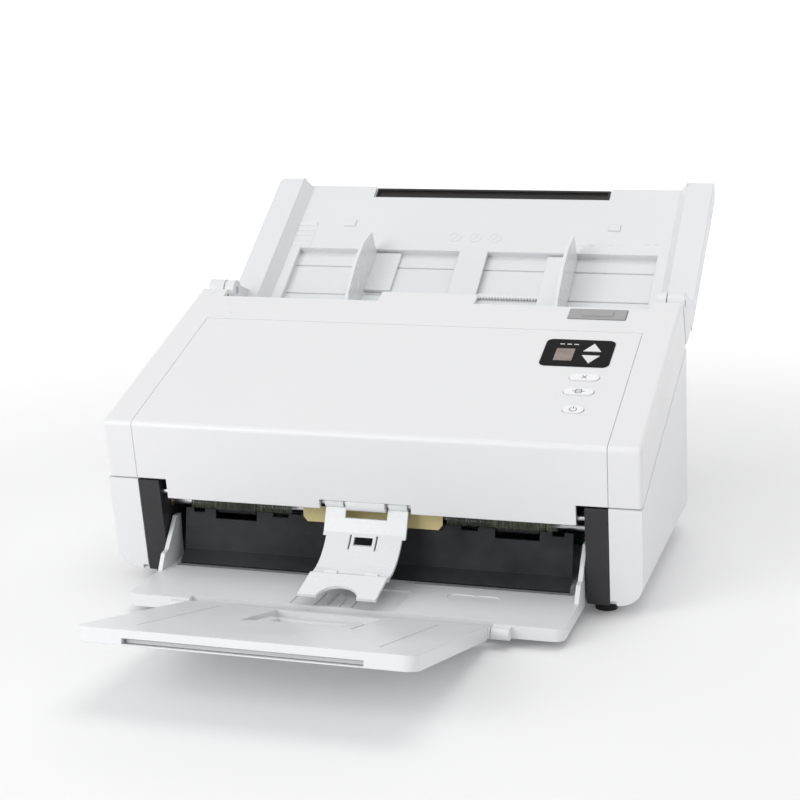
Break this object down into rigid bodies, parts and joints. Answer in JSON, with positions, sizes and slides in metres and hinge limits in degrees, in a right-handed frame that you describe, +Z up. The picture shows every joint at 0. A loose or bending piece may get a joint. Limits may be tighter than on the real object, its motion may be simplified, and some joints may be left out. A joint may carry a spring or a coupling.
{
  "type": "sheet fed document scanner",
  "caption": "Desktop sheet fed document scanner with a fold-down input tray, hinged cover, control panel, exit guide and pull-out output tray.",
  "frame": {"origin": "centre of the footprint on the desk, trays open", "axes": "+X to the right seen from the front, +Y to the back along the paper feed, +Z up; the front faces -Y"},
  "size_m": [0.316, 0.5051, 0.2139],
  "materials": {
    "casing_white": "satin moulded",
    "cover_white": "satin moulded",
    "tray_white": "fine satin",
    "guide_white": "smooth",
    "pillar_dark": "fine grain",
    "chassis_dark": "moulded",
    "bristle": "fibre",
    "film_yellow": "translucent film",
    "bezel_black": "gloss",
    "display": "dim liquid crystal",
    "arrow_white": "printed",
    "button_white": "satin",
    "latch_grey": "fine grain",
    "roller_rubber": "matte",
    "steel": "ground",
    "bush": "sintered",
    "glass_clear": "clear",
    "board_green": "solder mask",
    "motor_metal": "dull",
    "rubber_black": "matte",
    "port_black": "moulded",
    "port_metal": "bright",
    "gear_white": "acetal",
    "grip_dark": "fine grain"
  },
  "bodies": {
    "base": {"lower_casing": "casing_white", "base_pan": "casing_white", "rubber_feet": "rubber_black", "right_pillar": "pillar_dark", "left_pillar": "pillar_dark", "exit_plate": "chassis_dark", "exit_brush": "bristle", "exit_film": "film_yellow", "lower_chassis": "chassis_dark", "lower_scan_module": "chassis_dark", "lower_scan_glass": "glass_clear", "hinge_shaft": "steel", "drive_motor": "motor_metal", "drive_belt": "rubber_black", "shaft_bushes": "bush", "main_board": "board_green", "power_jack": "port_black", "usb_socket": "port_metal", "tray_pins": "steel", "base_screws": "steel"},
    "motor_rotor": {"motor_pulley": "steel"},
    "exit_drive": {"exit_rollers": "roller_rubber", "exit_shaft": "steel"},
    "front_drive": {"front_transport_rollers": "roller_rubber"},
    "rear_drive": {"rear_transport_rollers": "roller_rubber"},
    "feed_drive": {"feed_roller": "roller_rubber", "feed_shaft": "steel"},
    "cover": {"top_cover": "cover_white", "cover_frame": "cover_white", "upper_chassis": "chassis_dark", "upper_scan_module": "chassis_dark", "upper_scan_glass": "glass_clear", "control_bezel": "bezel_black", "display_window": "display", "control_board": "board_green", "latch_spring": "steel"},
    "front_pinch": {"front_pinch_rollers": "roller_rubber"},
    "rear_pinch": {"rear_pinch_rollers": "roller_rubber"},
    "separation": {"separation_roller": "roller_rubber"},
    "latch": {"cover_latch": "latch_grey"},
    "exit_guide": {"exit_guide": "guide_white"},
    "exit_flap": {"exit_flap": "guide_white"},
    "output_tray": {"output_tray": "tray_white", "extension_pin": "steel"},
    "output_extension": {"output_extension": "tray_white"},
    "inner_extension": {"inner_extension": "tray_white"},
    "paper_stopper": {"paper_stopper": "tray_white"},
    "input_tray": {"input_tray": "tray_white", "tray_floor": "tray_white"},
    "guide_pinion": {"guide_pinion": "gear_white"},
    "left_guide": {"left_paper_guide": "guide_white"},
    "right_guide": {"right_paper_guide": "guide_white"},
    "tray_extension": {"tray_extension": "grip_dark"},
    "up_button": {"up_button": "arrow_white"},
    "down_button": {"down_button": "arrow_white"},
    "cancel_button": {"cancel_button": "button_white"},
    "scan_button": {"scan_button": "button_white"},
    "power_button": {"power_button": "button_white"}
  },
  "joints": [
    {"name": "cover_hinge", "type": "hinge", "parent": "base", "child": "cover", "pos_m": [0, -0.05314, 0.0575], "axis": [1, 0, 0], "range_deg": [0, 50]},
    {"name": "input_tray_fold", "type": "hinge", "parent": "base", "child": "input_tray", "pos_m": [0, 0.10726, 0.1519], "axis": [-1, 0, 0], "range_deg": [-162, 0]},
    {"name": "left_guide_slide", "type": "slide", "parent": "input_tray", "child": "left_guide", "axis": [-1, 0, 0], "range_m": [-0.034, 0.038]},
    {"name": "right_guide_slide", "type": "slide", "parent": "input_tray", "child": "right_guide", "axis": [1, 0, 0], "range_m": [-0.034, 0.038]},
    {"name": "guide_pinion_spin", "type": "hinge", "parent": "input_tray", "child": "guide_pinion", "pos_m": [0, 0.15823, 0.13722], "axis": [0, -0.5693, 0.8221], "range_deg": [-320, 320]},
    {"name": "tray_extension_slide", "type": "slide", "parent": "input_tray", "child": "tray_extension", "axis": [0, 0.8221, 0.5693], "range_m": [0, 0.06]},
    {"name": "output_tray_slide", "type": "slide", "parent": "base", "child": "output_tray", "axis": [0, -1, 0], "range_m": [-0.05, 0]},
    {"name": "extension_tilt", "type": "hinge", "parent": "output_tray", "child": "output_extension", "pos_m": [0, -0.11274, 0.0084], "axis": [-1, 0, 0], "range_deg": [-13.5, 0]},
    {"name": "inner_extension_slide", "type": "slide", "parent": "output_extension", "child": "inner_extension", "axis": [0, -0.9724, 0.2334], "range_m": [0, 0.07]},
    {"name": "stopper_flip", "type": "hinge", "parent": "output_extension", "child": "paper_stopper", "pos_m": [0, -0.16876, 0.0235], "axis": [1, 0, 0], "range_deg": [0, 100]},
    {"name": "exit_guide_swing", "type": "hinge", "parent": "base", "child": "exit_guide", "pos_m": [0, -0.05314, 0.0575], "axis": [1, 0, 0], "range_deg": [-60, 0]},
    {"name": "exit_flap_fold", "type": "hinge", "parent": "exit_guide", "child": "exit_flap", "pos_m": [0, -0.08674, 0.0246], "axis": [1, 0, 0], "range_deg": [-60, 0]},
    {"name": "latch_press", "type": "slide", "parent": "cover", "child": "latch", "axis": [0, 0.3295, -0.9441], "range_m": [0, 0.0022], "stiffness_N_per_m": 400, "deforming": ["latch_spring"]},
    {"name": "up_button_press", "type": "slide", "parent": "cover", "child": "up_button", "axis": [0, 0.3295, -0.9441], "range_m": [0, 0.0008], "stiffness_N_per_m": 300},
    {"name": "down_button_press", "type": "slide", "parent": "cover", "child": "down_button", "axis": [0, 0.3295, -0.9441], "range_m": [0, 0.0008], "stiffness_N_per_m": 300},
    {"name": "cancel_button_press", "type": "slide", "parent": "cover", "child": "cancel_button", "axis": [0, 0.3295, -0.9441], "range_m": [0, 0.0008], "stiffness_N_per_m": 300},
    {"name": "scan_button_press", "type": "slide", "parent": "cover", "child": "scan_button", "axis": [0, 0.3295, -0.9441], "range_m": [0, 0.0008], "stiffness_N_per_m": 300},
    {"name": "power_button_press", "type": "slide", "parent": "cover", "child": "power_button", "axis": [0, 0.3295, -0.9441], "range_m": [0, 0.0008], "stiffness_N_per_m": 300},
    {"name": "feed_spin", "type": "hinge", "parent": "base", "child": "feed_drive", "pos_m": [0, 0.08659, 0.0857], "axis": [1, 0, 0], "continuous": true},
    {"name": "exit_spin", "type": "hinge", "parent": "base", "child": "exit_drive", "pos_m": [0, -0.03674, 0.0476], "axis": [1, 0, 0], "continuous": true},
    {"name": "front_spin", "type": "hinge", "parent": "base", "child": "front_drive", "pos_m": [0, -0.0045, 0.05839], "axis": [1, 0, 0], "continuous": true},
    {"name": "rear_spin", "type": "hinge", "parent": "base", "child": "rear_drive", "pos_m": [0, 0.06383, 0.08125], "axis": [1, 0, 0], "continuous": true},
    {"name": "motor_spin", "type": "hinge", "parent": "base", "child": "motor_rotor", "pos_m": [0, 0.08883, 0.04121], "axis": [1, 0, 0], "continuous": true},
    {"name": "front_pinch_spin", "type": "hinge", "parent": "cover", "child": "front_pinch", "pos_m": [0, -0.00812, 0.0692], "axis": [1, 0, 0], "continuous": true},
    {"name": "rear_pinch_spin", "type": "hinge", "parent": "cover", "child": "rear_pinch", "pos_m": [0, 0.06021, 0.09206], "axis": [1, 0, 0], "continuous": true},
    {"name": "separation_spin", "type": "hinge", "parent": "cover", "child": "separation", "pos_m": [0, 0.08107, 0.1022], "axis": [1, 0, 0], "continuous": true}
  ],
  "couplings": [
    {"joint": "guide_pinion_spin", "follows": "left_guide_slide", "rad_per_m": -142.05},
    {"joint": "right_guide_slide", "follows": "left_guide_slide", "ratio": 1},
    {"joint": "extension_tilt", "follows": "output_tray_slide", "rad_per_m": 4.7077},
    {"joint": "exit_spin", "follows": "feed_spin", "ratio": 1},
    {"joint": "front_spin", "follows": "feed_spin", "ratio": 1},
    {"joint": "rear_spin", "follows": "feed_spin", "ratio": 1},
    {"joint": "motor_spin", "follows": "feed_spin", "ratio": 1}
  ]
}
